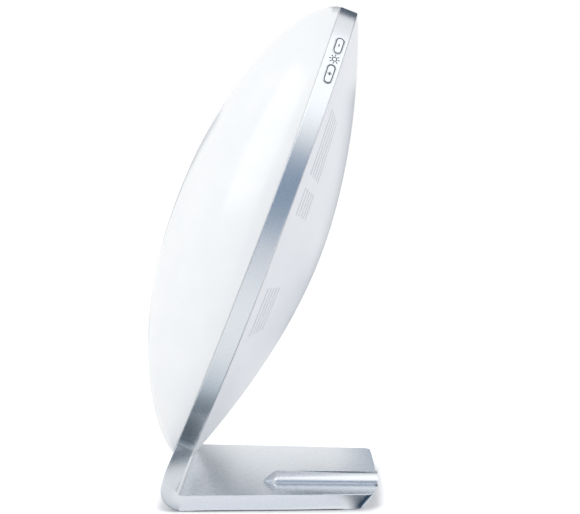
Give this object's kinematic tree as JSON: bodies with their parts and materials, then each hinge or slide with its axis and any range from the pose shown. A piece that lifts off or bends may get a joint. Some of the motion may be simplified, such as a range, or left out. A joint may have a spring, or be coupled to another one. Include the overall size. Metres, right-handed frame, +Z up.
{
  "type": "light therapy lamp",
  "caption": "Table light therapy lamp: oval opal light panel in a silver rim, leaning back on a wide bent foot with a rib for the mains inlet and buttons in the rim.",
  "frame": {"origin": "on the table, under the middle of the lamp's width and depth", "axes": "+X to the side of the minus and plus buttons, +Y to the rear of the foot, away from the light, +Z up"},
  "size_m": [0.344, 0.2826, 0.5978],
  "materials": {
    "opal_plastic": "opal white, glossy",
    "silver_metal": "satin silver",
    "white_plastic": "soft white",
    "mirror_sheet": "bright rolled sheet",
    "steel": "zinc plated",
    "coated_sheet": "grey coated sheet",
    "phosphor_glass": "white phosphor inside the glass",
    "board": "green circuit board",
    "black_plastic": "fine matt",
    "lead_sheath": "soft sheath",
    "brass": "turned, plain",
    "rubber": "soft feet"
  },
  "bodies": {
    "housing": {"front_diffuser": "opal_plastic", "rim_frame": "silver_metal", "stand_shell": "silver_metal", "rear_shell": "white_plastic", "tube_base_left": "white_plastic", "tube_base_right": "white_plastic", "lamp_holder_left": "white_plastic", "lamp_holder_right": "white_plastic", "reflector": "mirror_sheet", "tube_clip_left": "steel", "tube_clip_right": "steel", "stand_bracket": "steel", "counterweight": "steel", "rear_screw_1": "steel", "rear_screw_2": "steel", "rear_screw_3": "steel", "rear_screw_4": "steel", "bracket_screw_1": "steel", "bracket_screw_2": "steel", "base_screw_1": "steel", "base_screw_2": "steel", "base_screw_3": "steel", "base_screw_4": "steel", "ballast": "coated_sheet", "tube_left": "phosphor_glass", "tube_right": "phosphor_glass", "control_board": "board", "power_board": "board", "base_plate": "black_plastic", "power_inlet": "black_plastic", "lamp_lead_left": "lead_sheath", "lamp_lead_right": "lead_sheath", "control_lead": "lead_sheath", "power_lead": "lead_sheath", "supply_lead": "lead_sheath", "inlet_pin_left": "brass", "inlet_pin_right": "brass", "foot_pad_1": "rubber", "foot_pad_2": "rubber", "foot_pad_3": "rubber", "foot_pad_4": "rubber"},
    "minus": {"minus_button": "silver_metal"},
    "plus": {"plus_button": "silver_metal"},
    "power": {"power_button": "silver_metal"}
  },
  "joints": [
    {"name": "minus_press", "type": "slide", "parent": "housing", "child": "minus", "axis": [-0.7588, -0.2302, -0.6093], "range_m": [0, 0.0008], "stiffness_N_per_m": 1800, "springref_m": -0.0003},
    {"name": "plus_press", "type": "slide", "parent": "housing", "child": "plus", "axis": [-0.8795, -0.1682, -0.4452], "range_m": [0, 0.0008], "stiffness_N_per_m": 1800, "springref_m": -0.0003},
    {"name": "power_press", "type": "slide", "parent": "housing", "child": "power", "axis": [0.8325, -0.1958, -0.5182], "range_m": [0, 0.0008], "stiffness_N_per_m": 1800, "springref_m": -0.0003}
  ]
}
